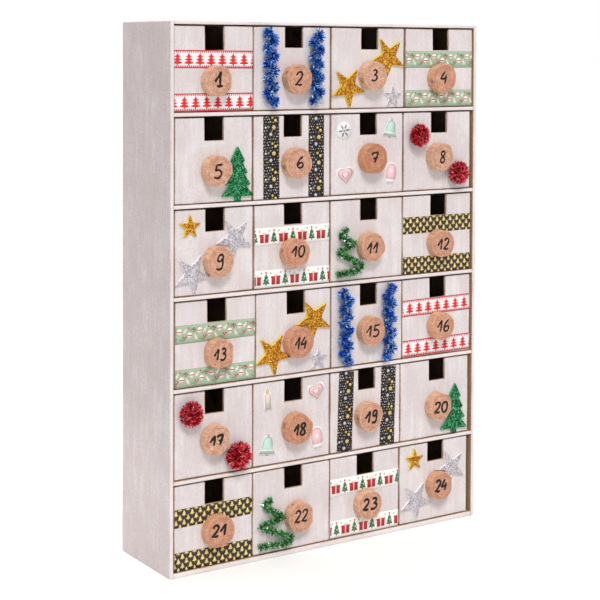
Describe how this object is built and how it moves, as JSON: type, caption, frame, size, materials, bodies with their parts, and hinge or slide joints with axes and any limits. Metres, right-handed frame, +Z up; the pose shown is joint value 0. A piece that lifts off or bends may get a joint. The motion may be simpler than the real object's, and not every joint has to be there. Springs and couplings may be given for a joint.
{
  "type": "papier-mache advent calendar",
  "caption": "Free-standing board cabinet with rows of small pull-out numbered drawers, each with a finger notch, a wooden disc knob and glued-on winter ornaments.",
  "frame": {"origin": "centre of the underside of the case's base", "axes": "+Z up, the drawers open towards -Y, +X to the right of someone facing the drawers"},
  "size_m": [0.32, 0.097, 0.455],
  "materials": {
    "board": "whitewashed papier-mache board",
    "knob_wood": "bare sanded end grain",
    "blue_tinsel": "metallic foil strands",
    "red_tinsel": "metallic foil strands",
    "green_chenille": "metallic foil pile on wire",
    "gold_foam": "gold glitter on craft foam",
    "silver_foam": "silver glitter on craft foam",
    "green_foam": "green glitter on craft foam",
    "printed_tape": "printed washi paper tape",
    "paper_sticker": "printed cut-paper sticker",
    "marker_ink": "black marker ink"
  },
  "bodies": {
    "case": {"left_side": "board", "right_side": "board", "top_panel": "board", "base_panel": "board", "back_panel": "board", "shelves": "board"},
    "drawer_01": {"drawer_01": "board", "knob_01": "knob_wood"},
    "drawer_02": {"drawer_02": "board", "knob_02": "knob_wood", "tinsel_02": "blue_tinsel"},
    "drawer_03": {"drawer_03": "board", "knob_and_stars_03": "knob_wood"},
    "drawer_04": {"drawer_04": "board", "knob_04": "knob_wood"},
    "drawer_05": {"drawer_05": "board", "knob_and_tree_05": "knob_wood"},
    "drawer_06": {"drawer_06": "board", "knob_06": "knob_wood"},
    "drawer_07": {"drawer_07": "board", "knob_07": "knob_wood"},
    "drawer_08": {"drawer_08": "board", "knob_08": "knob_wood", "pompoms_08": "red_tinsel"},
    "drawer_09": {"drawer_09": "board", "knob_and_stars_09": "knob_wood"},
    "drawer_10": {"drawer_10": "board", "knob_10": "knob_wood"},
    "drawer_11": {"drawer_11": "board", "knob_11": "knob_wood", "chenille_tree_11": "green_chenille"},
    "drawer_12": {"drawer_12": "board", "knob_12": "knob_wood"},
    "drawer_13": {"drawer_13": "board", "knob_13": "knob_wood"},
    "drawer_14": {"drawer_14": "board", "knob_and_stars_14": "knob_wood"},
    "drawer_15": {"drawer_15": "board", "knob_15": "knob_wood", "tinsel_15": "blue_tinsel"},
    "drawer_16": {"drawer_16": "board", "knob_16": "knob_wood"},
    "drawer_17": {"drawer_17": "board", "knob_17": "knob_wood", "pompoms_17": "red_tinsel"},
    "drawer_18": {"drawer_18": "board", "knob_18": "knob_wood"},
    "drawer_19": {"drawer_19": "board", "knob_19": "knob_wood"},
    "drawer_20": {"drawer_20": "board", "knob_and_tree_20": "knob_wood"},
    "drawer_21": {"drawer_21": "board", "knob_21": "knob_wood"},
    "drawer_22": {"drawer_22": "board", "knob_22": "knob_wood", "chenille_tree_22": "green_chenille"},
    "drawer_23": {"drawer_23": "board", "knob_23": "knob_wood"},
    "drawer_24": {"drawer_24": "board", "knob_and_stars_24": "knob_wood"}
  },
  "joints": [
    {"name": "drawer_01_slide", "type": "slide", "parent": "case", "child": "drawer_01", "axis": [0, -1, 0], "range_m": [0, 0.065]},
    {"name": "drawer_02_slide", "type": "slide", "parent": "case", "child": "drawer_02", "axis": [0, -1, 0], "range_m": [0, 0.065]},
    {"name": "drawer_03_slide", "type": "slide", "parent": "case", "child": "drawer_03", "axis": [0, -1, 0], "range_m": [0, 0.065]},
    {"name": "drawer_04_slide", "type": "slide", "parent": "case", "child": "drawer_04", "axis": [0, -1, 0], "range_m": [0, 0.065]},
    {"name": "drawer_05_slide", "type": "slide", "parent": "case", "child": "drawer_05", "axis": [0, -1, 0], "range_m": [0, 0.065]},
    {"name": "drawer_06_slide", "type": "slide", "parent": "case", "child": "drawer_06", "axis": [0, -1, 0], "range_m": [0, 0.065]},
    {"name": "drawer_07_slide", "type": "slide", "parent": "case", "child": "drawer_07", "axis": [0, -1, 0], "range_m": [0, 0.065]},
    {"name": "drawer_08_slide", "type": "slide", "parent": "case", "child": "drawer_08", "axis": [0, -1, 0], "range_m": [0, 0.065]},
    {"name": "drawer_09_slide", "type": "slide", "parent": "case", "child": "drawer_09", "axis": [0, -1, 0], "range_m": [0, 0.065]},
    {"name": "drawer_10_slide", "type": "slide", "parent": "case", "child": "drawer_10", "axis": [0, -1, 0], "range_m": [0, 0.065]},
    {"name": "drawer_11_slide", "type": "slide", "parent": "case", "child": "drawer_11", "axis": [0, -1, 0], "range_m": [0, 0.065]},
    {"name": "drawer_12_slide", "type": "slide", "parent": "case", "child": "drawer_12", "axis": [0, -1, 0], "range_m": [0, 0.065]},
    {"name": "drawer_13_slide", "type": "slide", "parent": "case", "child": "drawer_13", "axis": [0, -1, 0], "range_m": [0, 0.065]},
    {"name": "drawer_14_slide", "type": "slide", "parent": "case", "child": "drawer_14", "axis": [0, -1, 0], "range_m": [0, 0.065]},
    {"name": "drawer_15_slide", "type": "slide", "parent": "case", "child": "drawer_15", "axis": [0, -1, 0], "range_m": [0, 0.065]},
    {"name": "drawer_16_slide", "type": "slide", "parent": "case", "child": "drawer_16", "axis": [0, -1, 0], "range_m": [0, 0.065]},
    {"name": "drawer_17_slide", "type": "slide", "parent": "case", "child": "drawer_17", "axis": [0, -1, 0], "range_m": [0, 0.065]},
    {"name": "drawer_18_slide", "type": "slide", "parent": "case", "child": "drawer_18", "axis": [0, -1, 0], "range_m": [0, 0.065]},
    {"name": "drawer_19_slide", "type": "slide", "parent": "case", "child": "drawer_19", "axis": [0, -1, 0], "range_m": [0, 0.065]},
    {"name": "drawer_20_slide", "type": "slide", "parent": "case", "child": "drawer_20", "axis": [0, -1, 0], "range_m": [0, 0.065]},
    {"name": "drawer_21_slide", "type": "slide", "parent": "case", "child": "drawer_21", "axis": [0, -1, 0], "range_m": [0, 0.065]},
    {"name": "drawer_22_slide", "type": "slide", "parent": "case", "child": "drawer_22", "axis": [0, -1, 0], "range_m": [0, 0.065]},
    {"name": "drawer_23_slide", "type": "slide", "parent": "case", "child": "drawer_23", "axis": [0, -1, 0], "range_m": [0, 0.065]},
    {"name": "drawer_24_slide", "type": "slide", "parent": "case", "child": "drawer_24", "axis": [0, -1, 0], "range_m": [0, 0.065]}
  ]
}
